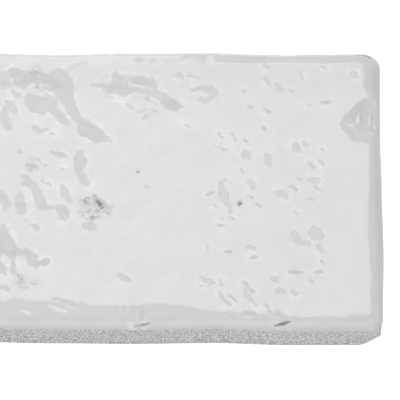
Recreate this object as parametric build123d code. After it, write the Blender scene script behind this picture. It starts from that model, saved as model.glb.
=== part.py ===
from build123d import *

import os
from math import exp, pi, radians, sin, tan

# A glazed ceramic wall tile with a hand-made look, pressed and fired as one piece.
# It lies on its back: X runs along its length, Y across its width, and Z out of the glazed face.
# The origin is in the middle of the back, on the plane that the lands of the back lie in.
# Lengths are in millimetres.

# Overall size
LENGTH = 200.0
WIDTH = 65.0
THICKNESS = 9.0

# Outline: the sides stray from straight lines, each corner is rounded by its own amount, and the
# walls lean in towards the back by the angle of the draft in degrees
SIDE_STRAY = 0.35
FRONT_RIGHT_CORNER = 2.9
FAR_RIGHT_CORNER = 3.6
FAR_LEFT_CORNER = 4.2
FRONT_LEFT_CORNER = 3.8
DRAFT_ANGLE = 1.3

# How far each side strays outwards at even steps along it, as shares of SIDE_STRAY
FRONT_STRAYS = (0.3, -0.5, 0.8, -0.2, -0.9, 0.4, -0.6, 0.7, -0.5, 0.3, 0.8)
RIGHT_STRAYS = (0.8, 0.2, -0.5)
FAR_STRAYS = (-0.8, 0.7, 0.1, -0.6, 0.6, -0.8, 0.5, -0.9, 0.2, 0.8, -0.3)
LEFT_STRAYS = (0.5, -0.7, 0.4)

# Glazed face: it falls towards the sides, is rounded over at its rim, and undulates
PILLOW_DROP = 0.35
PILLOW_REACH = 9.0
FACE_WAVE = 0.08
LONG_WAVE = 46.0
CROSS_WAVE = 31.0
LONG_SHIFT = 5.9
CROSS_SHIFT = 2.0
RIM_RADIUS = 2.0
SURFACE_STEP = 5.0

# Dents in the face, each (x, y, across, depth): the place of its middle, its width and how deep it is
DENTS = (
    (98.6, 15.8, 12.0, 1.0),
    (40.6, -4.6, 5.2, 0.5),
    (34.0, 23.0, 10.0, 0.3),
    (22.5, -13.5, 9.0, 0.3),
    (86.0, -11.5, 7.5, 0.25),
    (-12.0, 10.0, 13.0, 0.3),
    (-37.0, -12.0, 11.0, 0.3),
    (-58.0, 16.0, 12.0, 0.3),
)

# The front right corner is knocked off aslant below the glaze: how far the cut would reach from the
# sharp corner of the back along the front, along the right side and upwards
KNOCK_ALONG = 5.0
KNOCK_ACROSS = 2.8
KNOCK_UP = 13.0

# Back: keys for the adhesive, sunk between the lands that the tile rests on
KEY_WIDTH = 4.4
KEY_LAND = 4.0
KEY_DEPTH = 0.8
KEY_TAPER = 20.0
BACK_BORDER = 7.0
BACK_EDGE = 0.5


def side(start, end, strays):
    """One side of the outline: a smooth curve that strays from the line between its ends."""
    along = (end - start).normalized()
    outwards = along.rotate(Axis.Z, -90)
    step = (end - start) / (len(strays) + 1)
    middle = [
        start + step * (place + 1) + outwards * (SIDE_STRAY * stray)
        for place, stray in enumerate(strays)
    ]
    return Spline(start, *middle, end, tangents=(along, along))


def outline(inset, height):
    """The tile's outline as a flat face, drawn inwards by inset all round, at a height."""
    right = LENGTH / 2 - inset
    far = WIDTH / 2 - inset
    front_start = Vector(-right + FRONT_LEFT_CORNER, -far)
    front_end = Vector(right - FRONT_RIGHT_CORNER, -far)
    right_start = Vector(right, -far + FRONT_RIGHT_CORNER)
    right_end = Vector(right, far - FAR_RIGHT_CORNER)
    far_start = Vector(right - FAR_RIGHT_CORNER, far)
    far_end = Vector(-right + FAR_LEFT_CORNER, far)
    left_start = Vector(-right, far - FAR_LEFT_CORNER)
    left_end = Vector(-right, -far + FRONT_LEFT_CORNER)
    edges = [
        side(front_start, front_end, FRONT_STRAYS),
        TangentArc(front_end, right_start, tangent=(1, 0)),
        side(right_start, right_end, RIGHT_STRAYS),
        TangentArc(right_end, far_start, tangent=(0, 1)),
        side(far_start, far_end, FAR_STRAYS),
        TangentArc(far_end, left_start, tangent=(-1, 0)),
        side(left_start, left_end, LEFT_STRAYS),
        TangentArc(left_end, front_start, tangent=(0, -1)),
    ]
    return Pos(0, 0, height) * make_face(Wire(edges))


def face_height(x, y):
    """The height of the glazed face above the back at one place."""
    to_side = max(min(LENGTH / 2 - abs(x), WIDTH / 2 - abs(y)), 0)
    fall = PILLOW_DROP * exp(-((to_side * 2 / PILLOW_REACH) ** 2))
    wave = sin(2 * pi * (x + LONG_SHIFT) / LONG_WAVE) * sin(2 * pi * (y + CROSS_SHIFT) / CROSS_WAVE)
    return THICKNESS - fall + FACE_WAVE * wave


def face_surface():
    """The glazed face as one smooth surface, a little larger than the tile."""
    across = round(LENGTH / SURFACE_STEP) + 2
    up = round(WIDTH / SURFACE_STEP) + 2
    points = []
    for column in range(across + 1):
        x = (column - across / 2) * SURFACE_STEP
        row_points = []
        for row in range(up + 1):
            y = (row - up / 2) * SURFACE_STEP
            row_points.append(Vector(x, y, face_height(x, y)))
        points.append(row_points)
    return Face.make_surface_from_array_of_points(points)


def block():
    """The pressed body under its glazed face, before the dents and the keys."""
    clear = 2 * THICKNESS
    lean = clear * tan(radians(DRAFT_ANGLE))
    walls = loft([outline(lean, 0), outline(0, clear)], ruled=True)
    under_face = extrude(face_surface(), amount=clear, dir=(0, 0, -1))
    body = walls & under_face
    rim = body.faces().sort_by(Axis.Z)[-1].edges()
    body = fillet(rim, RIM_RADIUS)
    back = body.faces().sort_by(Axis.Z)[0].edges()
    return chamfer(back, BACK_EDGE)


def dents():
    """The balls that press the dents into the face."""
    for x, y, across, depth in DENTS:
        radius = ((across / 2) ** 2 + depth**2) / (2 * depth)
        yield Pos(x, y, face_height(x, y) - depth + radius) * Sphere(radius)


def knocked_corner():
    """The splinter that is knocked off the front right corner, as a solid to cut away."""
    corner = Vector(LENGTH / 2, -WIDTH / 2, 0)
    along = corner - Vector(KNOCK_ALONG, 0, 0)
    across = corner + Vector(0, KNOCK_ACROSS, 0)
    top = corner + Vector(0, 0, KNOCK_UP)
    cut = Plane(origin=(along + across) / 2, z_dir=(across - along).cross(top - along))
    return cut * Box(WIDTH, WIDTH, WIDTH, align=(Align.CENTER, Align.CENTER, Align.MIN))


def keys():
    """The long tapered grooves that are sunk into the back."""
    key_length = LENGTH - 2 * BACK_BORDER
    pitch = KEY_WIDTH + KEY_LAND
    count = int((WIDTH - 2 * BACK_BORDER + KEY_LAND) // pitch)
    key = extrude(Rectangle(key_length, KEY_WIDTH), amount=KEY_DEPTH, taper=KEY_TAPER)
    return [place * key for place in GridLocations(0, pitch, 1, count)]


def tile():
    """The finished tile, with the middle of its back at the origin."""
    made = block()
    for ball in dents():
        made -= ball
    made -= knocked_corner()
    made -= keys()
    box = made.bounding_box()
    return Pos(-box.center().X, -box.center().Y, -box.min.Z) * made


os.makedirs("parts", exist_ok=True)
export_step(tile(), "parts/tile.step")
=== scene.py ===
import random
from math import cos, hypot, pi, radians, sin, sqrt, tan

import bmesh
import bpy
import numpy as np
from mathutils import Matrix, Vector, noise


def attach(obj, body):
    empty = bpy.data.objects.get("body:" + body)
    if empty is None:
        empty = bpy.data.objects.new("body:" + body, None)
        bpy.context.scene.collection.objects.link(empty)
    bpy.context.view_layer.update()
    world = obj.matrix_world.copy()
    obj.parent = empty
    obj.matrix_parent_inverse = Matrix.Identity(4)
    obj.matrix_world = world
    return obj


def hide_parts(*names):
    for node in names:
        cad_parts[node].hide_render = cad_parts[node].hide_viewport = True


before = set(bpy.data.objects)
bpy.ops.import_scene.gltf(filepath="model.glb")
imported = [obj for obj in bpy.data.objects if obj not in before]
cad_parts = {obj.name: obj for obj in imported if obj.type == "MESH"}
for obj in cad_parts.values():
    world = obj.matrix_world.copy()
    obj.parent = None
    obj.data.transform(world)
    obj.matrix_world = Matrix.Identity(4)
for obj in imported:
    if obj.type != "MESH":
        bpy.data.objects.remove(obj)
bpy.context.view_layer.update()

# The tile is one piece of pale clay, pressed in a mould, glazed white over its face and rim, and fired.
# Its face keeps the marks of a hand-made look: soft undulations, dragged strokes and a few rough pits.
# Its sides and back are bare clay. Its lengths are in millimetres until its mesh is brought to metres.

MM = 0.001
LENGTH = 200.0
WIDTH = 65.0
THICKNESS = 9.0

# The profile of a side, from the back up the wall and over the rim: the broken edge of the back, how far
# the wall leans in towards the back, the radius of the rim, and the glaze's lower edge, with its height,
# how soft it is and how far the glaze stands proud of the clay
BACK_EDGE = 0.5
PRESS_DRAFT = 0.2
RIM_ROLL = 2.0
GLAZE_LINE = 6.9
GLAZE_SOFT = 0.3
GLAZE_STEP = 0.16

# The sheet that is draped over the tile has lines up the wall, more of them about the glaze's lower edge,
# and lines over the rim. The gaps lie between these three groups and the glaze's lower edge.
LOW_WALL_LINES = 6
GLAZE_LINES = 3
ROLL_LINES = 9
LOW_WALL_GAP = 0.6
BELOW_GLAZE_GAP = 0.35
ABOVE_GLAZE_GAP = 0.1
ROLL_GAP = 0.4

# The steps between the sheet's lines over the face, finest along the stretches with small marks
FINE_STEP = 0.3
PLAIN_STEP = 0.5
COARSE_STEP = 0.9
CROSS_STEP = 0.315
FINE_START = 18.0
FINE_STOP = 46.0
FINE_AGAIN = 60.0

# Added to a divisor that may be zero
TINY = 1e-9

edge_girth = BACK_EDGE * sqrt(2)
wall_girth = THICKNESS - RIM_ROLL - BACK_EDGE
roll_girth = RIM_ROLL * pi / 2
side_girth = edge_girth + wall_girth + roll_girth


def ramp(value, start, end):
    """A value brought to run from 0 at start to 1 at end, and no further either way."""
    return np.clip((value - start) / (end - start), 0, 1)


def side_lines():
    """Distances from the sheet's edge, up the wall and over the rim, closer together at the glaze line."""
    glaze_reach = edge_girth + GLAZE_LINE - BACK_EDGE
    low_wall = np.linspace(edge_girth, glaze_reach - LOW_WALL_GAP, LOW_WALL_LINES)
    near_glaze = np.linspace(glaze_reach - BELOW_GLAZE_GAP, glaze_reach + ABOVE_GLAZE_GAP, GLAZE_LINES)
    roll = np.linspace(glaze_reach + ROLL_GAP, side_girth, ROLL_LINES)
    return np.concatenate(([0.0], low_wall, near_glaze, roll))


def sheet_lines(half_size, stretches):
    """Places of the sheet's lines along one axis: the sides' lines, and the face's between them."""
    sides = side_lines()
    outer = half_size - RIM_ROLL + side_girth
    face_lines = []
    for start, end, step in stretches:
        count = round((end - start) / step)
        face_lines.extend(np.linspace(start, end, count + 1)[1:])
    return np.concatenate((-outer + sides, face_lines[:-1], (outer - sides)[::-1]))


face_x = LENGTH / 2 - RIM_ROLL
face_y = WIDTH / 2 - RIM_ROLL
x_stretches = (
    (-face_x, FINE_START, COARSE_STEP),
    (FINE_START, FINE_STOP, FINE_STEP),
    (FINE_STOP, FINE_AGAIN, PLAIN_STEP),
    (FINE_AGAIN, face_x, FINE_STEP),
)
x_lines = sheet_lines(LENGTH / 2, x_stretches)
y_lines = sheet_lines(WIDTH / 2, ((-face_y, face_y, CROSS_STEP),))

sheet = bmesh.new()
bmesh.ops.create_grid(sheet, x_segments=len(x_lines) - 1, y_segments=len(y_lines) - 1, size=1)
flat = np.array([vertex.co for vertex in sheet.verts])
column = np.rint((flat[:, 0] + 1) / 2 * (len(x_lines) - 1)).astype(int)
row = np.rint((flat[:, 1] + 1) / 2 * (len(y_lines) - 1)).astype(int)
across = x_lines[column]
up = y_lines[row]

# Corner radii of the outline, by the signs of x and y
CORNERS = {(1, -1): 2.9, (1, 1): 3.6, (-1, 1): 4.2, (-1, -1): 3.8}

# How far each side strays outwards at even steps along it, as shares of SIDE_STRAY, and how far in from
# the rim that is felt
SIDE_STRAY = 0.35
STRAY_REACH = 3.0
FRONT_STRAYS = (0.3, -0.5, 0.8, -0.2, -0.9, 0.4, -1.9, -1.1, -0.7, -1.3, 0.1)
RIGHT_STRAYS = (0.8, 0.2, -0.5)
FAR_STRAYS = (-0.8, 0.7, 0.1, -0.6, 0.6, -0.8, 0.5, -0.9, 0.2, 0.8, -0.3)
LEFT_STRAYS = (0.5, -0.7, 0.4)


def inset_at(reach):
    """How far in from the outline the profile lies, at a distance up from its lower edge."""
    edge = BACK_EDGE * (1 - ramp(reach, 0, edge_girth))
    draft = PRESS_DRAFT * (1 - ramp(reach, 0, edge_girth + wall_girth))
    over = np.maximum(reach - side_girth, 0)
    return edge + draft + RIM_ROLL * (1 - np.cos(turn_at(reach))) + over


def height_at(reach):
    """How high the profile lies above the back, at a distance up from its lower edge."""
    edge = BACK_EDGE * ramp(reach, 0, edge_girth)
    wall = np.clip(reach - edge_girth, 0, wall_girth)
    return edge + wall + RIM_ROLL * np.sin(turn_at(reach))


def turn_at(reach):
    """How far the profile has turned over the rim, from 0 on the wall to a right angle on the face."""
    return np.clip((reach - edge_girth - wall_girth) / RIM_ROLL, 0, pi / 2)


def stray_at(along, strays, corner_before, corner_after, length):
    """How far a side strays outwards at places along it, counted from its first corner."""
    step = (length - corner_before - corner_after) / (len(strays) + 1)
    total = np.zeros(along.shape)
    for number, share in enumerate(strays):
        steps_off = np.clip(np.abs(along - corner_before - step * (number + 1)) / step, 0, 1)
        total += SIDE_STRAY * share * np.cos(steps_off * pi / 2) ** 2
    return total


x_side = np.where(across < 0, -1, 1)
y_side = np.where(up < 0, -1, 1)
from_x_edge = LENGTH / 2 - RIM_ROLL + side_girth - np.abs(across)
from_y_edge = WIDTH / 2 - RIM_ROLL + side_girth - np.abs(up)
reach = np.minimum(from_x_edge, from_y_edge)
further = np.maximum(from_x_edge, from_y_edge)
inset = inset_at(reach)
on_x_side = from_x_edge < from_y_edge

# Away from the corners each point lies straight in from its own side
x = x_side * (LENGTH / 2 - np.where(on_x_side, inset, RIM_ROLL + from_x_edge - side_girth))
y = y_side * (WIDTH / 2 - np.where(on_x_side, RIM_ROLL + from_y_edge - side_girth, inset))
out_x = np.where(on_x_side, x_side, 0.0)
out_y = np.where(on_x_side, 0.0, y_side)

# Near a corner the sheet's square lines are turned into arcs about the corner's middle
for (sign_x, sign_y), radius in CORNERS.items():
    corner_reach = side_girth - RIM_ROLL + radius
    in_corner = (x_side == sign_x) & (y_side == sign_y) & (further < corner_reach)
    swing = (further - reach) / (corner_reach - reach + TINY) * pi / 4
    angle = pi / 4 + np.where(on_x_side, -swing, swing)
    arc = radius - inset
    x = np.where(in_corner, sign_x * (LENGTH / 2 - radius + arc * np.cos(angle)), x)
    y = np.where(in_corner, sign_y * (WIDTH / 2 - radius + arc * np.sin(angle)), y)
    out_x = np.where(in_corner, sign_x * np.cos(angle), out_x)
    out_y = np.where(in_corner, sign_y * np.sin(angle), out_y)

# The sides stray, most at the outline and less further in
stray = np.where(
    on_x_side,
    np.where(
        x_side > 0,
        stray_at(WIDTH / 2 + y, RIGHT_STRAYS, CORNERS[1, -1], CORNERS[1, 1], WIDTH),
        stray_at(WIDTH / 2 - y, LEFT_STRAYS, CORNERS[-1, 1], CORNERS[-1, -1], WIDTH),
    ),
    np.where(
        y_side < 0,
        stray_at(LENGTH / 2 + x, FRONT_STRAYS, CORNERS[-1, -1], CORNERS[1, -1], LENGTH),
        stray_at(LENGTH / 2 - x, FAR_STRAYS, CORNERS[1, 1], CORNERS[-1, 1], LENGTH),
    ),
)
felt = np.exp(-((np.maximum(inset - RIM_ROLL, 0) / STRAY_REACH) ** 2))
x = x + out_x * stray * felt
y = y + out_y * stray * felt
z = height_at(reach)
turn = turn_at(reach)

places = np.stack((x, y, np.zeros(x.shape)), axis=1)


def noise_at(points, size, seed):
    """Smooth noise from -1 to 1 at points, with bumps of about a size."""
    return np.array([noise.noise(Vector(point) / size + Vector((0, 0, seed))) for point in points])


# The face undulates in long waves
FACE_WAVE = 0.05
LONG_WAVE = 46.0
CROSS_WAVE = 31.0
LONG_SHIFT = 5.9
CROSS_SHIFT = 2.0

relief = FACE_WAVE * np.sin(2 * pi * (x + LONG_SHIFT) / LONG_WAVE)
relief = relief * np.sin(2 * pi * (y + CROSS_SHIFT) / CROSS_WAVE)

# The face falls towards its sides, each fall a drop over a width. The front's is wide at its left end and
# narrows along a stretch of x, and the ends' is wider and deeper beyond a stretch of y.
FRONT_DROP = 0.5
FRONT_FALL_LEFT = 10.5
FRONT_FALL_RIGHT = 3.0
FRONT_NARROWS = (20.0, 85.0)
FAR_DROP = 0.35
FAR_FALL = 4.5
END_DROP = 0.4
END_FALL = 5.0
END_WIDENS = (21.5, 24.0)
WIDER_DROP = 0.14
WIDER_FALL = 1.9

# The falls' edges wander a little, in noise of two sizes
WANDER_SIZE = 4.5
NIBBLE_SIZE = 1.6
FRONT_WANDER = 0.8
FRONT_NIBBLE = 0.2
FAR_WANDER = 0.3
END_WANDER = 0.4

wander = noise_at(places, WANDER_SIZE, seed=12.5)
nibble = noise_at(places, NIBBLE_SIZE, seed=45.5)
to_front = np.maximum(WIDTH / 2 + y + FRONT_WANDER * wander + FRONT_NIBBLE * nibble, 0)
to_far = np.maximum(WIDTH / 2 - y + FAR_WANDER * wander, 0)
to_ends = np.maximum(LENGTH / 2 - np.abs(x) + END_WANDER * wander, 0)
front_fall = FRONT_FALL_LEFT + (FRONT_FALL_RIGHT - FRONT_FALL_LEFT) * ramp(x, *FRONT_NARROWS)
widened = ramp(y, *END_WIDENS)
falls = (
    (to_front, front_fall, FRONT_DROP),
    (to_far, FAR_FALL, FAR_DROP),
    (to_ends, END_FALL + WIDER_FALL * widened, END_DROP + WIDER_DROP * widened),
)
for distance, width, drop in falls:
    relief -= drop * np.exp(-((distance * 2 / width) ** 2))

# Finer unrest: a swell, a ripple that is strongest about two places along the tile, each (x, reach,
# share), and a drag that runs aslant over the face
SWELL = 0.03
SWELL_SIZE = 11.0
RIPPLE = 0.008
RIPPLE_SIZE = 3.2
RIPPLE_LEAST = 0.25
RIPPLE_PLACES = ((28.0, 15.0, 1.0), (76.0, 11.0, 0.7))
DRAG = 0.02
DRAG_SIZE = 3.4
DRAG_STRETCH = 0.35
DRAG_X = 0.75
DRAG_Y = 0.66

relief += SWELL * noise_at(places, SWELL_SIZE, seed=3.5)
busy = RIPPLE_LEAST
for busy_x, busy_reach, share in RIPPLE_PLACES:
    busy = busy + share * np.exp(-(((x - busy_x) / busy_reach) ** 2))
relief += RIPPLE * busy * noise_at(places, RIPPLE_SIZE, seed=4.5)
along_drag = DRAG_STRETCH * (x * DRAG_X + y * DRAG_Y)
dragged = np.stack((along_drag, x * -DRAG_Y + y * DRAG_X, np.zeros(x.shape)), axis=1)
relief += DRAG * noise_at(dragged, DRAG_SIZE, seed=15.5)

# The strokes that were dragged over the face, each a chain of spots (x, y, half its width).
# A stroke runs rightwards or towards the front, and the flank on its right side is the steep one.
# The look of a kind of mark says how steeply it falls to its right, how dull its glaze is and how much
# shade is painted into it, how ragged its outline is and how strong a highlight is painted around it.
LEFT_LOOK = {"fall": 0.12, "shade": 1.0, "ragged": 0.35, "glow": 0.8}
LEFT_STROKES = (
    ((32.8, 26.2, 1.9), (33.7, 24.2, 2.3), (34.6, 21.5, 1.7), (35.5, 18.9, 1.1), (36.8, 16.3, 0.9)),
    ((37.4, 16.0, 0.8), (38.9, 14.0, 1.9), (41.2, 12.5, 1.4), (44.1, 10.9, 0.3)),
    ((27.0, 21.0, 1.3), (28.4, 19.6, 2.0), (29.6, 18.4, 1.3)),
    ((31.0, 20.5, 1.1), (32.0, 18.4, 1.0), (33.3, 16.8, 1.2), (34.2, 15.8, 1.0)),
    ((23.4, 27.2, 1.2), (24.8, 25.6, 1.7), (26.0, 24.7, 1.3)),
    ((21.2, 26.2, 1.0), (21.9, 24.6, 1.2)),
    ((23.6, 22.6, 0.6), (24.6, 21.8, 0.8)),
    ((26.6, 26.0, 1.2), (29.8, 25.4, 1.2), (32.4, 24.0, 1.4)),
    ((30.6, 21.6, 0.8), (31.8, 20.4, 1.0)),
    ((22.3, 20.1, 0.7), (23.4, 18.6, 1.0)),
    ((21.5, 19.6, 0.3), (22.0, 16.6, 0.8), (22.6, 14.6, 1.1)),
    ((28.1, 14.2, 0.8), (28.9, 13.6, 0.8)),
    ((29.6, 13.9, 0.4), (30.4, 13.9, 0.3)),
    ((31.2, 13.2, 0.4), (32.7, 12.5, 0.2)),
    ((31.9, 8.6, 0.4), (33.5, 7.8, 0.8), (34.5, 7.4, 0.4)),
    ((37.4, 8.7, 0.6), (37.6, 6.7, 1.4), (37.4, 3.7, 0.9), (38.9, 1.1, 0.8), (39.4, 0.5, 0.3)),
    ((26.0, 2.6, 0.6), (26.7, 1.7, 1.2), (28.3, 0.2, 0.9), (29.3, -2.1, 1.1), (29.6, -4.0, 1.1)),
    ((27.3, 7.2, 0.3), (28.9, 6.8, 0.35), (30.4, 5.2, 0.35)),
    ((29.6, 1.8, 0.25), (31.4, 0.8, 0.3)),
    ((33.1, 5.0, 0.2), (34.0, 4.3, 0.3)),
    ((34.0, 0.3, 0.6), (34.6, -1.3, 0.9), (35.3, -2.6, 0.9)),
    ((33.9, -4.8, 1.2), (34.5, -6.6, 1.1)),
    ((25.2, -1.7, 0.8), (25.2, -3.6, 1.2), (25.6, -5.4, 0.8)),
    ((39.2, -8.9, 1.0), (40.3, -9.0, 0.9)),
    ((41.6, -3.0, 0.7), (42.5, -4.6, 1.3), (43.7, -5.3, 0.7)),
    ((38.8, -2.9, 0.35), (40.6, -2.7, 0.45)),
    ((21.1, -1.5, 1.1), (22.4, -3.3, 1.0), (22.1, -5.3, 0.6)),
    ((26.3, -7.1, 0.15), (27.6, -8.3, 0.3), (28.7, -9.3, 0.5)),
    ((21.4, -9.1, 0.9), (22.4, -12.1, 1.5), (23.2, -14.4, 1.5), (24.2, -16.2, 0.6), (24.2, -20.0, 0.4)),
    ((20.6, -12.0, 1.5), (20.8, -14.5, 1.5)),
    ((21.2, -17.0, 0.6), (21.7, -18.6, 1.2), (22.4, -20.0, 0.4)),
    ((26.6, -14.7, 0.7), (27.4, -15.6, 1.0), (28.1, -17.3, 1.0), (28.6, -18.5, 0.6)),
    ((29.0, -17.5, 0.5), (30.7, -17.1, 1.0)),
    ((21.1, -22.9, 0.4), (22.8, -23.4, 0.5)),
)
MIDDLE_LOOK = {"fall": 0.15, "shade": 1.0, "ragged": 0.3, "glow": 0.6}
MIDDLE_STROKES = (
    ((39.7, 24.2, 0.4), (41.7, 24.1, 0.6), (43.8, 23.3, 1.1), (46.4, 22.2, 0.8), (48.4, 23.0, 0.5)),
    ((44.7, 26.2, 1.0), (46.2, 24.0, 1.3)),
    ((48.4, 23.0, 0.5), (51.0, 22.5, 0.6), (53.4, 21.9, 0.8), (55.2, 20.8, 1.1), (57.0, 19.3, 1.4)),
    ((57.4, 19.0, 0.9), (57.5, 17.9, 0.3)),
    ((46.3, 25.7, 0.4), (48.2, 25.3, 0.9), (50.6, 24.9, 1.1), (52.6, 24.2, 1.0)),
    ((47.2, 19.5, 0.35), (48.2, 18.8, 0.5)),
    ((50.8, 21.2, 0.3), (51.7, 20.6, 0.35)),
    ((49.4, 17.8, 0.3), (50.7, 18.3, 0.35)),
    ((52.3, 18.3, 0.35), (53.8, 17.6, 0.3)),
    ((50.2, 16.4, 0.3), (51.2, 16.9, 0.5)),
    ((60.3, 26.3, 0.35), (61.6, 26.0, 0.4)),
    ((59.2, 14.9, 0.3), (60.3, 14.2, 0.35)),
    ((60.5, 22.9, 0.4), (62.7, 23.3, 0.55), (64.3, 23.1, 1.0), (65.6, 22.0, 0.8)),
    ((62.0, 21.0, 0.35), (63.3, 20.6, 0.55), (64.6, 20.8, 0.5)),
    ((46.9, -27.6, 0.3), (47.0, -28.4, 0.2)),
    ((50.5, -28.2, 0.4), (50.2, -30.2, 0.5)),
)
RIGHT_LOOK = {"fall": 0.3, "shade": 1.0, "ragged": 0.12, "glow": 0.5}
RIGHT_STROKES = (
    ((70.7, 23.0, 0.25), (71.8, 22.5, 0.4)),
    ((72.3, 19.2, 0.3), (73.2, 18.8, 0.35)),
    ((75.7, 18.4, 0.3), (76.8, 17.8, 0.4)),
    ((75.8, 25.7, 0.3), (76.8, 24.2, 0.35)),
    ((81.0, 22.9, 0.3), (81.6, 22.5, 0.35)),
    ((83.5, 27.3, 0.25), (83.8, 25.2, 0.25)),
    ((87.2, 28.7, 0.25), (88.7, 28.0, 0.3)),
    ((87.5, 19.9, 0.3), (89.4, 20.0, 0.45)),
    ((84.7, 19.6, 0.25), (85.3, 19.2, 0.25)),
    ((75.2, 14.3, 0.4), (76.1, 13.8, 0.4)),
    ((66.3, 13.1, 0.25), (67.0, 11.9, 0.3)),
    ((69.2, 12.9, 0.4), (69.8, 11.3, 0.35)),
    ((71.7, 11.4, 0.35), (72.2, 11.0, 0.3)),
    ((65.5, 9.9, 0.15), (66.8, 9.4, 0.3), (68.1, 8.9, 0.35)),
    ((84.9, 6.0, 0.4), (85.7, 5.2, 0.5)),
    ((87.3, 6.4, 0.4), (88.0, 5.6, 0.4)),
    ((87.4, 9.4, 0.2), (88.1, 8.7, 0.2)),
    ((70.8, 4.6, 0.2), (71.2, 3.7, 0.2)),
    ((66.5, 1.4, 0.2), (67.6, 2.0, 0.2), (69.1, 1.2, 0.2)),
    ((64.1, -1.5, 0.35), (65.2, -0.9, 0.3)),
    ((81.3, 0.4, 0.4), (82.2, -0.2, 0.4)),
    ((82.8, 2.2, 0.3), (83.3, 1.9, 0.3)),
    ((86.1, 0.5, 0.35), (87.4, -0.5, 0.35)),
    ((84.9, -2.3, 0.3), (85.8, -2.6, 0.3)),
    ((72.3, -1.5, 0.25), (73.2, -2.3, 0.4)),
    ((74.0, -3.5, 0.25), (74.9, -4.2, 0.35)),
    ((65.4, -3.7, 0.25), (65.8, -4.5, 0.3)),
    ((82.1, -5.5, 0.3), (82.5, -6.0, 0.25)),
    ((67.0, -7.2, 0.25), (67.2, -7.8, 0.25)),
    ((68.3, -6.8, 0.25), (69.5, -7.2, 0.3)),
    ((65.8, -8.7, 0.3), (67.3, -8.7, 0.35)),
    ((87.3, -16.9, 0.35), (87.6, -17.3, 0.35)),
    ((80.7, -19.4, 0.4), (82.1, -19.6, 0.45), (84.2, -19.6, 0.15)),
    ((86.1, -19.5, 0.25), (87.4, -19.5, 0.35)),
    ((64.0, -13.4, 0.2), (64.1, -14.3, 0.2)),
    ((67.3, -14.8, 0.35), (68.7, -14.8, 0.35)),
    ((73.0, -16.2, 0.3), (73.9, -16.0, 0.35)),
    ((66.7, -21.2, 0.25), (66.9, -22.6, 0.25)),
    ((66.3, -23.8, 0.3), (67.0, -25.5, 0.4), (68.5, -27.0, 0.35)),
    ((68.3, -24.8, 0.3), (69.2, -25.6, 0.35), (70.0, -26.4, 0.25)),
    ((84.9, -21.5, 0.3), (85.6, -21.7, 0.3)),
    ((71.4, -22.0, 0.35), (72.3, -22.6, 0.35)),
    ((72.7, -23.5, 0.35), (73.4, -24.2, 0.35)),
    ((75.8, -26.8, 0.2), (76.3, -27.6, 0.3), (76.8, -28.7, 0.25)),
)

# Patches of dull glaze painted with shade, with a slight tilt, and fine scratches, in chains like the
# strokes
PATCH_LOOK = {"fall": 0.06, "shade": 1.0, "ragged": 0.25, "glow": 0.6}
PATCHES = (
    ((94.3, 26.8, 0.75), (94.6, 26.5, 0.75)),
    ((71.8, 8.1, 1.0), (72.0, 7.8, 1.0)),
    ((76.2, 7.5, 0.85), (76.7, 6.0, 0.85)),
    ((82.1, 9.9, 0.85), (82.5, 9.1, 0.85)),
    ((84.0, 10.7, 0.55), (84.4, 10.2, 0.55)),
    ((72.8, 1.6, 0.7), (73.4, 0.2, 0.65)),
    ((86.1, -10.2, 1.4), (86.6, -10.9, 1.4)),
    ((81.7, -10.4, 0.7), (82.6, -12.2, 0.9), (83.4, -12.8, 0.75), (84.8, -12.8, 0.55)),
    ((86.8, -13.6, 0.65), (87.3, -14.6, 0.5)),
    ((66.6, 1.3, 0.5), (66.8, -0.1, 0.75), (67.2, -1.4, 1.1), (67.9, -3.2, 0.7), (68.9, -5.3, 0.45)),
    ((78.4, -0.8, 0.8), (79.3, -1.3, 0.8), (80.4, -2.2, 0.4)),
    ((85.3, 2.1, 0.65), (86.5, 1.6, 0.8)),
    ((77.7, -21.1, 0.65), (78.0, -21.3, 0.65)),
    ((78.6, -23.6, 0.65), (79.2, -23.9, 0.65)),
    ((81.6, -24.2, 0.6), (81.9, -24.6, 0.6)),
    ((71.9, -23.9, 0.65), (72.3, -25.2, 0.65), (73.1, -26.3, 0.45), (73.9, -27.4, 0.35)),
    ((72.0, -13.5, 0.45), (73.0, -13.8, 0.65), (73.6, -14.2, 0.5)),
    ((62.6, -20.7, 0.5), (63.9, -21.7, 0.65), (65.1, -22.0, 0.5)),
    ((71.5, -28.7, 0.4), (72.6, -28.7, 0.55), (73.8, -29.1, 0.4)),
    ((78.1, -28.5, 0.5), (78.8, -29.2, 0.65)),
    ((78.5, 24.3, 0.4), (78.9, 23.3, 0.65), (79.5, 22.9, 0.55)),
    ((75.9, 29.0, 0.55), (76.2, 28.3, 0.5)),
    ((57.7, 26.3, 0.5), (58.6, 26.0, 0.65)),
    ((45.6, -20.1, 0.5), (46.7, -20.8, 0.8), (47.8, -21.7, 0.45)),
    ((32.6, -25.7, 0.45), (34.5, -26.2, 0.6), (36.4, -26.9, 0.55)),
)
SCRATCH_LOOK = {"fall": 0.5, "shade": 1.0, "ragged": 0.0, "glow": 1.0}
SCRATCHES = (
    ((42.8, 21.7, 0.15), (45.4, 20.4, 0.15)),
    ((62.4, -23.0, 0.15), (64.8, -23.2, 0.15)),
    ((48.7, -32.0, 0.2), (50.8, -31.6, 0.25)),
    ((77.8, -32.0, 0.2), (80.8, -31.2, 0.25)),
)

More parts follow.
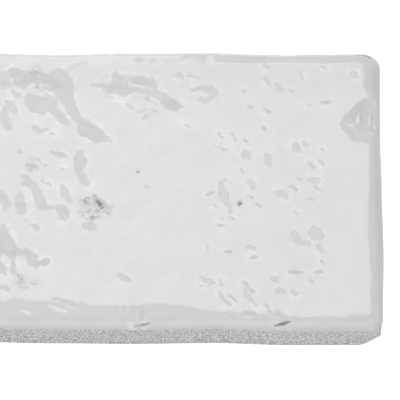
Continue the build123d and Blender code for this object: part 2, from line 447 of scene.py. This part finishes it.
# The rest of the tile is of the same hand, with strokes scattered about a few places (x, y). Their half
# widths, leans and lengths, as shares of the half width, are drawn between two limits.
BEYOND_LOOK = {"fall": 0.10, "shade": 1.0, "ragged": 0.35, "glow": 0.8}
BEYOND_PLACES = (
    (-88, 12),
    (-76, -14),
    (-62, 20),
    (-55, -3),
    (-38, 11),
    (-30, -20),
    (-9, 6),
    (8, 21),
    (5, -14),
)
BEYOND_COUNT = 6
BEYOND_SPREAD_X = 4.5
BEYOND_SPREAD_Y = 3.5
BEYOND_LIMIT_Y = 26
BEYOND_HALVES = (0.6, 1.4)
BEYOND_LEANS = (0.2, 1.3)
BEYOND_LENGTHS = (1.5, 4)
BEYOND_KINK = 0.5
BEYOND_START_SHARE = 0.6
BEYOND_END_SHARE = 0.4
BEYOND_END_DOWN = 1.5

random.seed(7)
beyond_strokes = []
for near_x, near_y in BEYOND_PLACES:
    for _ in range(BEYOND_COUNT):
        start_x = near_x + random.gauss(0, BEYOND_SPREAD_X)
        start_y = near_y + random.gauss(0, BEYOND_SPREAD_Y)
        start_y = max(min(start_y, BEYOND_LIMIT_Y), -BEYOND_LIMIT_Y)
        half = random.uniform(*BEYOND_HALVES)
        lean = random.uniform(*BEYOND_LEANS)
        length = half * random.uniform(*BEYOND_LENGTHS)
        kink = random.uniform(-BEYOND_KINK, BEYOND_KINK)
        start_spot = (start_x, start_y, half * BEYOND_START_SHARE)
        wide_spot = (start_x + length * cos(lean) + kink, start_y - length * sin(lean), half)
        end_spot = (wide_spot[0] + half, wide_spot[1] - BEYOND_END_DOWN * half, half * BEYOND_END_SHARE)
        beyond_strokes.append((start_spot, wide_spot, end_spot))

# A stroke's relief: how much sooner it ends than its sides run out, how fast its height is lost past its
# ends and beside it, how strongly the nearest span of its chain counts, and the half widths between which
# it comes from its least to its full steepness
END_TRIM = 1.5
END_FADE = 4.5
SIDE_LOSS = 0.35
SIDE_FADE = 60.0
NEARNESS = 6
SHALLOW_HALF = 0.6
STEEP_HALF = 1.3
LEAST_STEEP = 0.35

# A mark's outline: how soft it is on the mesh, how wide the run is from which the glaze draws it finer,
# how far the painted highlight reaches, how many half widths away a mark is still felt, and a depth that
# lies outside any mark
MARK_EDGE = 0.3
MARK_SPREAD = 1.2
HALO_WIDTH = 1.6
FELT_HALVES = 10
FAR_OUTSIDE = -9.0

# Noise of two sizes bends and frays the outlines, and the marks lie a little nearer the front from a
# stretch of y on
BEND_SIZE = 2.2
FRAY_SIZE = 0.9
BEND = 0.3
SMALL_BEND = 0.12
FRAY = 0.04
MARK_DRIFT = 0.3
DRIFT_BEGINS = (24.0, 14.0)

bend_noise_x = noise_at(places, BEND_SIZE, seed=1.5)
bend_noise_y = noise_at(places, BEND_SIZE, seed=7.5)
fray_noise_x = noise_at(places, FRAY_SIZE, seed=39.5)
fray_noise_y = noise_at(places, FRAY_SIZE, seed=42.5)
frayed_x = x + FRAY * fray_noise_x
frayed_y = y + FRAY * fray_noise_y + MARK_DRIFT * ramp(y, *DRIFT_BEGINS)

# What the glaze's material is told at each point: how deep it lies in a mark's outline, how dull it is
# there and how much shade is painted on it, and how much highlight is painted on it
marked = np.zeros(x.shape)
dull_and_shaded = np.zeros(x.shape)
highlight = np.zeros(x.shape)


def stroke_height(px, py, chain, fall):
    """The height that one stroke adds: it climbs to its left edge and falls across to its right."""
    total = np.zeros(px.shape)
    weight = np.full(px.shape, TINY)
    for (x0, y0, half0), (x1, y1, half1) in zip(chain, chain[1:]):
        run = hypot(x1 - x0, y1 - y0)
        ux = (x1 - x0) / run
        uy = (y1 - y0) / run
        along = (px - x0) * ux + (py - y0) * uy
        aside = (px - x0) * -uy + (py - y0) * ux
        share = np.clip(along / run, 0, 1)
        half = half0 + (half1 - half0) * share
        beyond = END_TRIM * (along - share * run) / half
        gap = np.maximum(np.hypot(aside / half, beyond), 1)
        kept = np.exp(-(beyond**2) / END_FADE - gap**2 / SIDE_FADE) / (gap * (1 + SIDE_LOSS * (gap - 1)))
        near = 1 / gap**NEARNESS
        steep = np.maximum(ramp(half, SHALLOW_HALF, STEEP_HALF), LEAST_STEEP)
        total += near * fall * steep * aside * kept
        weight += near
    return total / weight


def depth_inside(px, py, chain):
    """How far points lie inside the outline of a chain of spots, below 0 outside it."""
    depth = np.full(px.shape, FAR_OUTSIDE)
    for (x0, y0, half0), (x1, y1, half1) in zip(chain, chain[1:]):
        run = hypot(x1 - x0, y1 - y0)
        share = np.clip(((px - x0) * (x1 - x0) + (py - y0) * (y1 - y0)) / run**2, 0, 1)
        off = np.hypot(px - x0 - share * (x1 - x0), py - y0 - share * (y1 - y0))
        depth = np.maximum(depth, half0 + (half1 - half0) * share - off)
    return depth


def add_marks(px, py, chains, fall, shade, ragged, glow):
    """Adds marks to the relief; the glaze inside them is dull and painted with shade, and around them
    painted with a highlight.
    """
    for chain in chains:
        felt_to = FELT_HALVES * max(spot[2] for spot in chain)
        low_x = min(spot[0] for spot in chain) - felt_to
        high_x = max(spot[0] for spot in chain) + felt_to
        low_y = min(spot[1] for spot in chain) - felt_to
        high_y = max(spot[1] for spot in chain) + felt_to
        close = np.flatnonzero((px > low_x) & (px < high_x) & (py > low_y) & (py < high_y))
        relief[close] += stroke_height(px[close], py[close], chain, fall)
        ragged_x = px[close] + ragged * fray_noise_x[close]
        ragged_y = py[close] + ragged * fray_noise_y[close]
        depth = depth_inside(ragged_x, ragged_y, chain)
        if shade:
            inside = ramp(depth, -MARK_SPREAD / 2, MARK_SPREAD / 2)
            marked[close] = np.maximum(marked[close], inside)
        dull_and_shaded[close] = np.maximum(dull_and_shaded[close], np.where(depth > -MARK_SPREAD / 2, shade, 0))
        highlight[close] = np.maximum(highlight[close], glow * ramp(depth, -HALO_WIDTH, 0))


bent_x = frayed_x + BEND * bend_noise_x
bent_y = frayed_y + BEND * bend_noise_y
add_marks(bent_x, bent_y, LEFT_STROKES, **LEFT_LOOK)
add_marks(bent_x, bent_y, beyond_strokes, **BEYOND_LOOK)
add_marks(bent_x, bent_y, MIDDLE_STROKES, **MIDDLE_LOOK)
less_bent_x = frayed_x + SMALL_BEND * bend_noise_x
less_bent_y = frayed_y + SMALL_BEND * bend_noise_y
add_marks(less_bent_x, less_bent_y, RIGHT_STROKES, **RIGHT_LOOK)
add_marks(less_bent_x, less_bent_y, PATCHES, **PATCH_LOOK)
add_marks(x, y, SCRATCHES, **SCRATCH_LOOK)

# Rough pits, each (x, y, radius, depth), where the glaze has crawled back from the clay. Noise of two
# sizes frays their outlines and crumbles their floors.
PITS = (
    (39.8, -6.0, 2.4, 0.3),
    (39.8, -3.9, 2.2, 0.25),
    (43.6, -6.2, 0.7, 0.15),
    (29.5, 23.7, 1.7, 0.2),
    (28.4, 27.3, 1.2, 0.15),
    (27.8, 5.2, 1.4, 0.3),
    (25.1, 8.7, 0.8, 0.2),
    (26.0, -22.2, 1.8, 0.2),
    (28.3, -22.6, 0.8, 0.15),
    (-54.0, -4.0, 1.8, 0.3),
    (-12.0, 9.0, 1.3, 0.25),
    (-84.0, 15.0, 1.0, 0.25),
)
CRATER_BEND_SIZE = 1.8
CRATER_FRAY_SIZE = 0.8
CRATER_BEND = 0.8
CRATER_FRAY = 0.5
CRUMB_SIZE = 1.1
FINE_CRUMB_SIZE = 0.55
FINE_CRUMBS = 0.7
PIT_SHARE = 0.7

fine_crumbs = FINE_CRUMBS * noise_at(places, FINE_CRUMB_SIZE, seed=19.5)
crumble = noise_at(places, CRUMB_SIZE, seed=9.5) + fine_crumbs
crater_x = x + CRATER_BEND * noise_at(places, CRATER_BEND_SIZE, seed=21.5)
crater_x = crater_x + CRATER_FRAY * noise_at(places, CRATER_FRAY_SIZE, seed=22.5)
crater_y = y + CRATER_BEND * noise_at(places, CRATER_BEND_SIZE, seed=24.5)
crater_y = crater_y + CRATER_FRAY * noise_at(places, CRATER_FRAY_SIZE, seed=25.5)
pitted = np.zeros(x.shape)
for pit_x, pit_y, radius, depth in PITS:
    sunk = np.exp(-((np.hypot(crater_x - pit_x, crater_y - pit_y) / radius) ** 4))
    relief -= depth * sunk * PIT_SHARE * (1 + crumble)
    pitted = np.maximum(pitted, sunk)

# Small deep holes, each (x, y, radius, depth), painted dark with the shade in them
HOLES = (
    (41.4, -3.2, 0.4, 0.7),
    (41.8, -3.9, 0.4, 0.7),
    (42.3, -4.6, 0.3, 0.5),
    (70.7, -3.8, 0.35, 0.6),
    (49.7, 3.6, 0.25, 0.15),
    (51.2, 0.1, 0.25, 0.25),
    (-21.0, 16.0, 0.35, 0.5),
    (-66.0, -19.0, 0.35, 0.5),
)
HOLE_BEND_SIZE = 0.9
HOLE_BEND = 0.3

hole_bent_x = x + HOLE_BEND * noise_at(places, HOLE_BEND_SIZE, seed=33.5)
hole_bent_y = y + HOLE_BEND * noise_at(places, HOLE_BEND_SIZE, seed=36.5)
recess_shade = np.zeros(x.shape)
for hole_x, hole_y, radius, depth in HOLES:
    sunk = np.exp(-((np.hypot(hole_bent_x - hole_x, hole_bent_y - hole_y) / radius) ** 2))
    relief -= depth * sunk
    recess_shade = np.maximum(recess_shade, sunk)

# A chunk is pressed out of the right edge in two lobes, each (x, y, half length, half width, depth). It
# has torn ridges with painted highlights and dull marks painted with shade, and crumbles towards the
# outline over a stretch of x.
EDGE_LOBES = ((98.2, 17.0, 4.6, 4.4, 0.8), (97.4, 14.8, 6.2, 4.3, 0.6))
RIDGE_LOOK = {"fall": 0.5, "shade": 0.0, "ragged": 0.0, "glow": 0.3}
EDGE_RIDGES = (
    ((95.9, 17.6, 0.3), (96.1, 15.4, 0.3), (97.6, 14.4, 0.25), (99.2, 12.0, 0.25)),
    ((94.4, 18.6, 0.3), (94.6, 17.2, 0.3)),
    ((97.8, 21.0, 0.3), (98.3, 18.0, 0.3), (97.9, 15.9, 0.4)),
)
DENT_LOOK = {"fall": 0.0, "shade": 0.7, "ragged": 0.5, "glow": 0.0}
DENT_MARKS = (
    ((97.2, 20.4, 0.9), (95.4, 18.4, 1.2), (93.4, 15.8, 1.0)),
    ((99.0, 19.0, 0.6), (98.4, 16.4, 0.8)),
)
TORN_SIZE = 3.0
TORN_BEND = 0.8
TORN_CRUMBLE = 0.10
CRUMBLES_OUTWARDS = (96.5, 98.0)

torn_x = x + TORN_BEND * noise_at(places, TORN_SIZE, seed=27.5)
torn_y = y + TORN_BEND * noise_at(places, TORN_SIZE, seed=30.5)
for lobe_x, lobe_y, half_x, half_y, depth in EDGE_LOBES:
    off = np.hypot((torn_x - lobe_x) / half_x, (torn_y - lobe_y) / half_y)
    lobe = np.clip(1 - off**2, 0, 1)
    relief += lobe * (TORN_CRUMBLE * crumble * ramp(x, *CRUMBLES_OUTWARDS) - depth)
add_marks(torn_x, torn_y, EDGE_RIDGES, **RIDGE_LOOK)
add_marks(torn_x, torn_y, DENT_MARKS, **DENT_LOOK)

# Level facets, each (outline, height), that mirror the lamp where the face around them falls away, and that
# carry no painted shade of a mark
FACETS = (
    (((95.6, 17.6, 0.15), (95.3, 15.6, 0.6)), -0.6),
    (((31.6, -27.3, 0.35), (33.4, -28.0, 0.6), (34.9, -28.6, 0.4)), -0.25),
    (((26.2, -28.3, 0.3), (27.4, -29.0, 0.35)), -0.35),
    (((67.4, -29.6, 0.25), (68.1, -30.0, 0.3)), -0.3),
    (((71.2, -29.7, 0.3), (73.4, -29.9, 0.35)), -0.3),
)

for facet, level in FACETS:
    level_share = ramp(depth_inside(x, y, facet), -MARK_EDGE / 2, MARK_EDGE / 2)
    relief += level_share * (level - relief)
    dull_and_shaded = dull_and_shaded * (1 - level_share)

# Short cracks in the glaze of the front and far rims, painted dark with the shade in them. They begin
# above the wall, past a turn of the profile, and reach their full depth at twice that turn.
CRACKS = (
    ((48.8, -32.0, 0.15), (50.3, -31.9, 0.25), (51.8, -31.7, 0.15)),
    ((77.9, -32.0, 0.15), (79.4, -31.6, 0.3), (80.9, -31.1, 0.15)),
    ((40.3, 32.05, 0.15), (43.0, 32.0, 0.15)),
    ((44.9, 31.9, 0.12), (46.8, 32.0, 0.12)),
    ((75.5, 32.0, 0.12), (79.0, 31.9, 0.12)),
    ((82.8, 31.8, 0.12), (87.8, 31.8, 0.12)),
    ((94.8, 31.95, 0.15), (96.4, 32.0, 0.2), (97.6, 31.75, 0.15), (98.3, 31.3, 0.1)),
)
CRACK_DEPTH = 0.15
CRACK_SHADE = 0.85
CRACK_RAGGED = 0.2
FRONT_CRACK_TURN = 0.4
FAR_CRACK_TURN = 0.2

crack_turn = np.where(y < 0, FRONT_CRACK_TURN, FAR_CRACK_TURN)
on_roll = ramp(turn, crack_turn, 2 * crack_turn)
ragged_x = x + CRACK_RAGGED * fray_noise_x
ragged_y = y + CRACK_RAGGED * fray_noise_y
for crack in CRACKS:
    split = on_roll * ramp(depth_inside(ragged_x, ragged_y, crack), -MARK_EDGE / 2, MARK_EDGE / 2)
    relief -= CRACK_DEPTH * split
    recess_shade = np.maximum(recess_shade, CRACK_SHADE * split)

# The relief stands out of the face and leans outwards over the rim
leaning = relief * np.cos(turn) * np.clip(turn, 0, 1)
x = x + out_x * leaning
y = y + out_y * leaning
z = z + relief * np.sin(turn)

# Below the glaze's lower edge the wall steps in to the bare clay
glazed = ramp(z, GLAZE_LINE - GLAZE_SOFT / 2, GLAZE_LINE + GLAZE_SOFT / 2)
wall_step = np.where(reach > edge_girth, GLAZE_STEP * (1 - glazed), 0)
x = x - out_x * wall_step
y = y - out_y * wall_step

# The front right corner is knocked off aslant below the glaze: how far the cut would reach from the
# sharp corner of the back along the front, along the right side and upwards
KNOCK_ALONG = 5.0
KNOCK_ACROSS = 2.8
KNOCK_UP = 13.0

corner = Vector((LENGTH / 2, -WIDTH / 2, 0))
along_front = corner - Vector((KNOCK_ALONG, 0, 0))
along_side = corner + Vector((0, KNOCK_ACROSS, 0))
above = corner + Vector((0, 0, KNOCK_UP))
knock_normal = (along_side - along_front).cross(above - along_front).normalized()
flat_out = Vector((knock_normal.x, knock_normal.y, 0)).normalized()
knock = (x - along_front.x) * knock_normal.x + (y - along_front.y) * knock_normal.y
knock = np.maximum(knock + z * knock_normal.z, 0) / knock_normal.dot(flat_out)
x = x - knock * flat_out.x
y = y - knock * flat_out.y

# The glaze is greyer at the foot of the rim's turn, and a little so in a strip along the far side, which
# begins and ends over two stretches of y. Towards the right end it is greyed as painted shade, where the
# light falls off.
FOOT_GREYING = (0.95, 0.35)
FAR_GREYING = 0.5
FAR_BEGINS = (20.0, 25.0)
FAR_ENDS = (29.3, 28.5)
RIGHT_SHADE = 0.2
RIGHT_BEGINS = (60.0, 80.0)

far_greying = FAR_GREYING * ramp(y, *FAR_BEGINS) * ramp(y, *FAR_ENDS)
right_shade = RIGHT_SHADE * ramp(x, *RIGHT_BEGINS)
greyed = np.maximum(ramp(turn, *FOOT_GREYING), far_greying + right_shade)

values_told = {
    "glazed": glazed,
    "pitted": pitted,
    "greyed": greyed,
    "recess_shade": recess_shade,
    "marked": marked,
    "dull_and_shaded": dull_and_shaded,
    "highlight": highlight,
}
layers = [sheet.verts.layers.float.new(name) for name in values_told]
spots = np.stack((x, y, z), axis=1)
point_values = np.stack(tuple(values_told.values()), axis=1)
for vertex, spot, values in zip(sheet.verts, spots, point_values):
    vertex.co = spot
    for layer, value in zip(layers, values):
        vertex[layer] = value

# The back, with its keys for the adhesive sunk between the lands
KEY_WIDTH = 4.4
KEY_LAND = 4.0
KEY_DEPTH = 0.8
KEY_TAPER = radians(20.0)
BACK_BORDER = 7.0

draped_faces = sheet.faces[:]
lower_edge = [edge for edge in sheet.edges if edge.is_boundary]
key_edges = []
pitch = KEY_WIDTH + KEY_LAND
key_count = int((WIDTH - 2 * BACK_BORDER + KEY_LAND) // pitch)
key_half = Vector((LENGTH / 2 - BACK_BORDER, KEY_WIDTH / 2, 1))
for number in range(key_count):
    ring = bmesh.ops.create_grid(sheet, x_segments=1, y_segments=1, size=1)["verts"]
    bmesh.ops.delete(sheet, geom=[ring[0].link_faces[0]], context="FACES_ONLY")
    bmesh.ops.scale(sheet, vec=key_half, verts=ring)
    bmesh.ops.translate(sheet, vec=(0, (number - (key_count - 1) / 2) * pitch, 0), verts=ring)
    key_edges.append(list({edge for vertex in ring for edge in vertex.link_edges}))
land_edges = lower_edge + [edge for edges in key_edges for edge in edges]
bmesh.ops.triangle_fill(sheet, use_beauty=True, use_dissolve=False, edges=land_edges, normal=(0, 0, -1))
narrowing = KEY_DEPTH * tan(KEY_TAPER)
narrowed = Vector((1 - narrowing / key_half.x, 1 - narrowing / key_half.y, 1))
for edges in key_edges:
    raised = bmesh.ops.extrude_edge_only(sheet, edges=edges)["geom"]
    floor_verts = [part for part in raised if isinstance(part, bmesh.types.BMVert)]
    floor_edges = [part for part in raised if isinstance(part, bmesh.types.BMEdge)]
    key_middle = sum((vertex.co for vertex in floor_verts), Vector()) / len(floor_verts)
    bmesh.ops.scale(sheet, vec=narrowed, space=Matrix.Translation(-key_middle), verts=floor_verts)
    bmesh.ops.translate(sheet, vec=(0, 0, KEY_DEPTH), verts=floor_verts)
    bmesh.ops.contextual_create(sheet, geom=floor_edges)
for edge in land_edges:
    edge.smooth = False
for face in draped_faces:
    face.smooth = True
bmesh.ops.recalc_face_normals(sheet, faces=sheet.faces[:])
bmesh.ops.scale(sheet, vec=(MM, MM, MM), verts=sheet.verts[:])

mesh = bpy.data.meshes.new("glazed_tile")
sheet.to_mesh(mesh)
sheet.free()
tile = bpy.data.objects.new("glazed_tile", mesh)
bpy.context.scene.collection.objects.link(tile)


class Flow:
    """One socket in a material's nodes. A sum or product of flows adds its Math node."""

    def __init__(self, tree, socket=None):
        self.tree = tree
        self.socket = socket

    def add(self, kind, settings=None, sockets=None, outlet=0):
        """A new node of a kind, with its settings and the values or flows of its sockets."""
        node = self.tree.nodes.new(kind)
        for name, value in (settings or {}).items():
            setattr(node, name, value)
        for name, value in (sockets or {}).items():
            if isinstance(value, Flow):
                self.tree.links.new(value.socket, node.inputs[name])
            else:
                node.inputs[name].default_value = value
        return Flow(self.tree, node.outputs[outlet] if node.outputs else None)

    def maths(self, operation, *values):
        """A Math node of an operation on values or flows."""
        return self.add("ShaderNodeMath", {"operation": operation}, dict(enumerate(values)))

    def __add__(self, other):
        return self.maths("ADD", self, other)

    def __sub__(self, other):
        return self.maths("SUBTRACT", self, other)

    def __rsub__(self, other):
        return self.maths("SUBTRACT", other, self)

    def __mul__(self, other):
        return self.maths("MULTIPLY", self, other)

    __radd__ = __add__
    __rmul__ = __mul__


def new_material(name):
    """A material without nodes, and the flow that its nodes are added to."""
    made = bpy.data.materials.new(name)
    made.use_nodes = True
    made.node_tree.nodes.clear()
    return made, Flow(made.node_tree)


fired_clay, clay_flow = new_material("glazed_and_bare_clay")


def told(name):
    """A value that the mesh's points carry."""
    return clay_flow.add("ShaderNodeAttribute", {"attribute_name": name}, outlet="Fac")


def mixed(share, first, second):
    """The colour between two, by a share."""
    sockets = {0: share, 6: first, 7: second}
    return clay_flow.add("ShaderNodeMix", {"data_type": "RGBA"}, sockets, outlet=2)


def grain_of(position, size, detail, roughness=0.5):
    """Noise from 0 to 1 at a position, with bumps of about a size in millimetres."""
    sockets = {"Vector": position, "Scale": 1 / (size * MM), "Detail": detail, "Roughness": roughness}
    return clay_flow.add("ShaderNodeTexNoise", None, sockets)


def ramp_of(value, low, high):
    """A flow brought to run from 0 at low to 1 at high."""
    sockets = {"Value": value, "From Min": low, "From Max": high}
    return clay_flow.add("ShaderNodeMapRange", None, sockets)


position = clay_flow.add("ShaderNodeTexCoord", outlet="Object")

# Gloss glaze: white with grey clouds that are drawn out aslant, partly its own tone and partly painted
# shade of soft undulations; greyer at the rim's foot, along the far side and towards the right end; and
# with painted highlights in patches around the marks
GLAZE_WHITE = (0.702, 0.712, 0.732, 1)
GLAZE_GREY = (0.660, 0.671, 0.693, 1)
GLAZE_GREYED = (0.63, 0.64, 0.645, 1)
GLAZE_HIGHLIGHT = (0.78, 0.79, 0.805, 1)
CLOUD_TURN = 0.72
CLOUD_STRETCH = 1.8

drawn_out = clay_flow.add(
    "ShaderNodeMapping",
    {"vector_type": "TEXTURE"},
    {"Vector": position, "Rotation": (0, 0, CLOUD_TURN), "Scale": (CLOUD_STRETCH, 1, 1)},
)
cloud = ramp_of(grain_of(drawn_out, size=3.6, detail=4.0, roughness=0.6), low=0.32, high=0.68)
highlight_spots = ramp_of(grain_of(position, size=2.4, detail=3.0, roughness=0.6), low=0.46, high=0.6)
glaze = mixed(cloud, GLAZE_WHITE, GLAZE_GREY)
glaze = mixed(told("greyed"), glaze, GLAZE_GREYED)
glaze = mixed(highlight_spots * told("highlight"), glaze, GLAZE_HIGHLIGHT)

# Dull glaze inside the marks, its darker colour painted shade where the tilted glaze stops mirroring the
# lamp:
# fine noise frays its outline, and it is less dull and less shaded in the core of a mark
GLAZE_SHADED = (0.60, 0.61, 0.625, 1)
OUTLINE_FRAY = 0.9
CORE_GLOSS = 0.3

outline = told("marked") + grain_of(drawn_out, size=0.8, detail=2.0, roughness=0.6) * OUTLINE_FRAY
core = ramp_of(told("marked"), low=0.6, high=0.95) * CORE_GLOSS
shaded_and_dull = ramp_of(outline, low=0.89, high=1.03) * told("dull_and_shaded") * (1 - core)
glaze = mixed(shaded_and_dull, glaze, GLAZE_SHADED)

# Clay that shows in crumbs where the glaze has crawled back in the pits
PIT_PALE = (0.745, 0.745, 0.735, 1)
PIT_DARK = (0.47, 0.47, 0.462, 1)
PIT_GRAIN = 0.85
PIT_SPREAD = 0.5

pit = told("pitted")
crumb_grain = grain_of(position, size=PIT_GRAIN, detail=3.0, roughness=0.7)
crumbs = mixed(ramp_of(crumb_grain, low=0.36, high=0.56), PIT_DARK, PIT_PALE)
bare_grain = grain_of(position, size=1.0, detail=3.0, roughness=0.6) + pit * PIT_SPREAD
bare = ramp_of(bare_grain, low=0.72, high=0.92) * ramp_of(pit, low=0, high=0.3)
glaze = mixed(bare, glaze, crumbs)

# Bare clay of the sides and back: pale, with dark grains. The small holes and the cracks get painted shade.
CLAY_LIGHT = (0.88, 0.865, 0.845, 1)
CLAY_DARK = (0.37, 0.36, 0.355, 1)
CLAY_GRAIN = 0.42
RECESS_SHADE_COLOUR = (0.09, 0.085, 0.08, 1)

cover = told("glazed")
clay_grain = grain_of(position, size=CLAY_GRAIN, detail=3.0, roughness=0.6)
clay = mixed(ramp_of(clay_grain, low=0.38, high=0.62), CLAY_DARK, CLAY_LIGHT)
colour = mixed(told("recess_shade"), mixed(cover, clay, glaze), RECESS_SHADE_COLOUR)

# The clay's roughness, how much less rough the glaze is, and what its bare crumbs and dull marks add to
# it. The heights of the fine bumps are in millimetres.
CLAY_ROUGH = 0.85
GLAZE_GLOSS = 0.8
PIT_ROUGH = 0.25
DULL_ROUGH = 0.3
PEEL_SIZE = 1.6
PEEL_HEIGHT = 0.006
CLAY_HEIGHT = 0.16
PIT_HEIGHT = 0.22

roughness = CLAY_ROUGH + cover * (PIT_ROUGH * bare + DULL_ROUGH * shaded_and_dull - GLAZE_GLOSS)
peel = grain_of(position, size=PEEL_SIZE, detail=2.0) * (PEEL_HEIGHT * MM)
pit_bumps = grain_of(position, size=PIT_GRAIN, detail=3.0, roughness=0.6) * (PIT_HEIGHT * MM)
height = peel * cover + clay_grain * (CLAY_HEIGHT * MM) * (1 - cover) + pit_bumps * pit
bump = clay_flow.add("ShaderNodeBump", None, {"Height": height, "Strength": 1.0, "Distance": 1.0})
shader = clay_flow.add(
    "ShaderNodeBsdfPrincipled",
    None,
    {"Base Color": colour, "Roughness": roughness, "IOR": 1.5, "Normal": bump},
)
clay_flow.add("ShaderNodeOutputMaterial", None, {"Surface": shader})
mesh.materials.append(fired_clay)

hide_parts("tile")
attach(tile, "root")

# The floor is a wide pale matt sheet that the tile lies on. It keeps the tile's shadow, and shows white
# to the camera and in the glaze. Lengths are in metres from here on.
FLOOR_SIZE = 8.0
FLOOR_CLEARANCE = 0.0001
FLOOR_PALE = (0.8, 0.8, 0.8, 1)
FLOOR_LIFT = 0.62

floor_sheet = bmesh.new()
bmesh.ops.create_grid(floor_sheet, x_segments=1, y_segments=1, size=FLOOR_SIZE / 2)
floor_mesh = bpy.data.meshes.new("studio_floor")
floor_sheet.to_mesh(floor_mesh)
floor_sheet.free()
floor = bpy.data.objects.new("studio_floor", floor_mesh)
bpy.context.scene.collection.objects.link(floor)
floor.location.z = -FLOOR_CLEARANCE


def seen_directly(flow):
    """1 for a ray from the camera, a mirror or glass, and 0 for one that gathers light."""
    names = ("Is Camera Ray", "Is Glossy Ray", "Is Transmission Ray")
    from_camera, from_mirror, from_glass = (flow.add("ShaderNodeLightPath", outlet=name) for name in names)
    return from_camera + from_mirror + from_glass


floor_paint, floor_flow = new_material("pale_floor")
matt = floor_flow.add("ShaderNodeBsdfDiffuse", None, {"Color": FLOOR_PALE})
lift = seen_directly(floor_flow) * FLOOR_LIFT
glow = floor_flow.add("ShaderNodeEmission", None, {"Color": (1, 1, 1, 1), "Strength": lift})
both = floor_flow.add("ShaderNodeAddShader", None, {0: matt, 1: glow})
floor_flow.add("ShaderNodeOutputMaterial", None, {"Surface": both})
floor_mesh.materials.append(floor_paint)

# The room is an even soft light from all round, and shows white behind the floor
AMBIENT = 0.345

world = bpy.data.worlds.new("studio")
bpy.context.scene.world = world
world.use_nodes = True
world.node_tree.nodes.clear()
world_flow = Flow(world.node_tree)
strength = AMBIENT + (1 - AMBIENT) * seen_directly(world_flow)
sky = world_flow.add("ShaderNodeBackground", None, {"Strength": strength})
world_flow.add("ShaderNodeOutputWorld", None, {"Surface": sky})

# The camera looks down on the face at the photo's angle
VIEW_ELEVATION = radians(62.0)
VIEW_DISTANCE = 1.6
VIEW_WIDTH = 0.08264
FARTHEST_SEEN = 20
AIM = Vector((0.0624, -0.00305, 0.009))

camera_data = bpy.data.cameras.new("camera")
camera = bpy.data.objects.new("camera", camera_data)
bpy.context.scene.collection.objects.link(camera)
camera_data.lens = camera_data.sensor_width * VIEW_DISTANCE / VIEW_WIDTH
camera_data.clip_end = FARTHEST_SEEN
to_camera = Vector((0, -cos(VIEW_ELEVATION), sin(VIEW_ELEVATION)))
camera.location = AIM + to_camera * VIEW_DISTANCE
camera.rotation_euler = (pi / 2 - VIEW_ELEVATION, 0, 0)
bpy.context.scene.camera = camera


def panel(name, place, target, width, height, radiance, tint=(1, 1, 1)):
    """A soft rectangular lamp that faces a point, with the brightness that its surface shows."""
    lamp = bpy.data.lights.new(name, "AREA")
    lamp.shape = "RECTANGLE"
    lamp.size = width
    lamp.size_y = height
    lamp.energy = radiance * width * height * pi
    lamp.color = tint
    holder = bpy.data.objects.new(name, lamp)
    bpy.context.scene.collection.objects.link(holder)
    holder.location = place
    holder.rotation_euler = (Vector(place) - Vector(target)).to_track_quat("Z", "Y").to_euler()
    holder.visible_camera = False


# The softbox is what the level face mirrors to the camera. Its edges are told from the middle of the
# mirrored view, so that the face stops mirroring it where it tilts past them.
MIRROR_DISTANCE = 0.9
SOFTBOX_LEFT = -0.15
SOFTBOX_RIGHT = 0.225
SOFTBOX_TOP = -0.125
SOFTBOX_LOW = 0.17
SOFTBOX_RADIANCE = 2.6

mirrored_view = Vector((0, cos(VIEW_ELEVATION), sin(VIEW_ELEVATION)))
downwards = Vector((0, sin(VIEW_ELEVATION), -cos(VIEW_ELEVATION)))
softbox_middle = AIM + mirrored_view * MIRROR_DISTANCE + downwards * (SOFTBOX_TOP + SOFTBOX_LOW) / 2
softbox_middle.x += (SOFTBOX_LEFT + SOFTBOX_RIGHT) / 2
panel(
    "softbox",
    place=softbox_middle,
    target=softbox_middle - mirrored_view,
    width=SOFTBOX_RIGHT - SOFTBOX_LEFT,
    height=SOFTBOX_LOW - SOFTBOX_TOP,
    radiance=SOFTBOX_RADIANCE,
)

# A warm upright panel behind the tile lights its far rim, and the others fill in the sides
panel(
    "far_panel",
    place=(-0.12, 0.55, 0.39),
    target=(-0.12, 0.0, 0.39),
    width=0.36,
    height=0.64,
    radiance=2.8,
    tint=(1, 0.97, 0.93),
)
panel("left_panel", place=(-0.4, -0.05, 0.35), target=AIM, width=0.4, height=0.4, radiance=2.0)
panel("right_panel", place=(0.6, 0.05, 0.3), target=AIM, width=0.4, height=0.4, radiance=1.15)
panel("front_fill", place=(0.3, -1.5, 1.0), target=AIM, width=3.0, height=1.6, radiance=1.15)

bpy.context.scene.view_settings.view_transform = "Standard"
